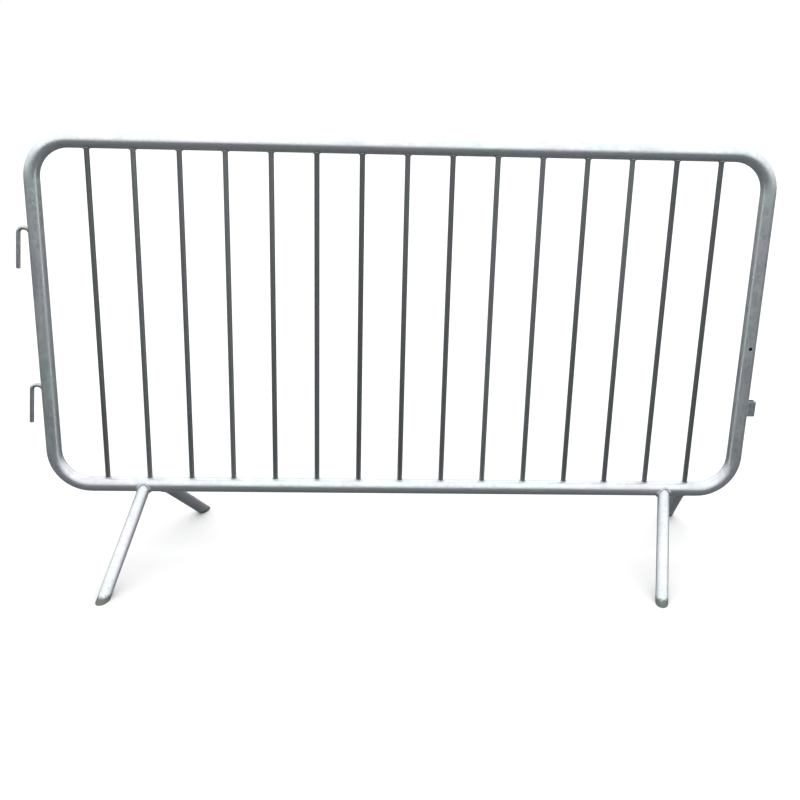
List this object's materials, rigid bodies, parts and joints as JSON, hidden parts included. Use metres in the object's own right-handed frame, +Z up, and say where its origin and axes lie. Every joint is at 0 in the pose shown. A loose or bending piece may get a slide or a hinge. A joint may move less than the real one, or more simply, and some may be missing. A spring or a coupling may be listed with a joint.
{
  "type": "crowd control barrier",
  "caption": "Free-standing galvanised steel crowd barrier: a bent tube frame with upright infill bars, splayed tube legs, coupling hooks at one end and a coupling eye at the other.",
  "frame": {"origin": "on the floor, under the middle of the barrier's bounding box", "axes": "+X along the barrier from the hooks to the eye, +Y to the back, +Z up"},
  "size_m": [2.0502, 0.6548, 1.19],
  "materials": {
    "galvanised_frame": "hot-dip galvanised, dull grey with soft spangle",
    "galvanised_bars": "hot-dip galvanised, darker grey",
    "galvanised_legs": "hot-dip galvanised, dull grey with soft spangle",
    "galvanised_coupling": "hot-dip galvanised, rubbed where it couples",
    "galvanised_welds": "hot-dip galvanised weld bead"
  },
  "bodies": {
    "root": {"frame_tube": "galvanised_frame", "bar_01": "galvanised_bars", "bar_02": "galvanised_bars", "bar_03": "galvanised_bars", "bar_04": "galvanised_bars", "bar_05": "galvanised_bars", "bar_06": "galvanised_bars", "bar_07": "galvanised_bars", "bar_08": "galvanised_bars", "bar_09": "galvanised_bars", "bar_10": "galvanised_bars", "bar_11": "galvanised_bars", "bar_12": "galvanised_bars", "bar_13": "galvanised_bars", "bar_14": "galvanised_bars", "bar_15": "galvanised_bars", "front_left_leg": "galvanised_legs", "back_left_leg": "galvanised_legs", "front_right_leg": "galvanised_legs", "back_right_leg": "galvanised_legs", "upper_hook": "galvanised_coupling", "lower_hook": "galvanised_coupling", "coupling_eye": "galvanised_coupling", "bar_top_welds": "galvanised_welds", "bar_bottom_welds": "galvanised_welds", "leg_welds": "galvanised_welds", "hook_welds": "galvanised_welds", "eye_welds": "galvanised_welds"}
  },
  "joints": []
}
